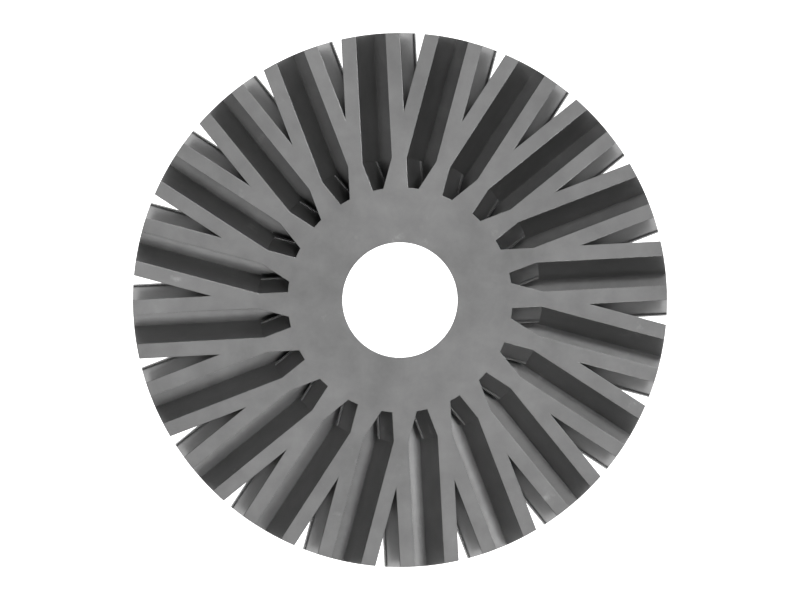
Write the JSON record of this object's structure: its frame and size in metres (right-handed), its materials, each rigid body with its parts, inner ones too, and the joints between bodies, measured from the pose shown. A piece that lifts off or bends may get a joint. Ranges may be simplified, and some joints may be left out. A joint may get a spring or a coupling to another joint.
{
  "type": "pump impeller",
  "caption": "Round bored impeller disc with leaning open channels between forked vanes, turned by a shaft to drive a liquid.",
  "frame": {"origin": "centre of the hub's rear face, on the bore axis", "axes": "+Z along the bore axis towards the flat front face that the channels open through; channel 1 points 3 degrees anticlockwise of +Y, seen from the front"},
  "size_m": [0.232, 0.232, 0.025],
  "materials": {
    "cast_metal": "satin, fine blasted"
  },
  "bodies": {
    "root": {"hub": "cast_metal", "vane_01": "cast_metal", "vane_02": "cast_metal", "vane_03": "cast_metal", "vane_04": "cast_metal", "vane_05": "cast_metal", "vane_06": "cast_metal", "vane_07": "cast_metal", "vane_08": "cast_metal", "vane_09": "cast_metal", "vane_10": "cast_metal", "vane_11": "cast_metal", "vane_12": "cast_metal", "vane_13": "cast_metal", "vane_14": "cast_metal", "vane_15": "cast_metal", "vane_16": "cast_metal", "vane_17": "cast_metal", "vane_18": "cast_metal", "vane_19": "cast_metal", "vane_20": "cast_metal"}
  },
  "joints": []
}
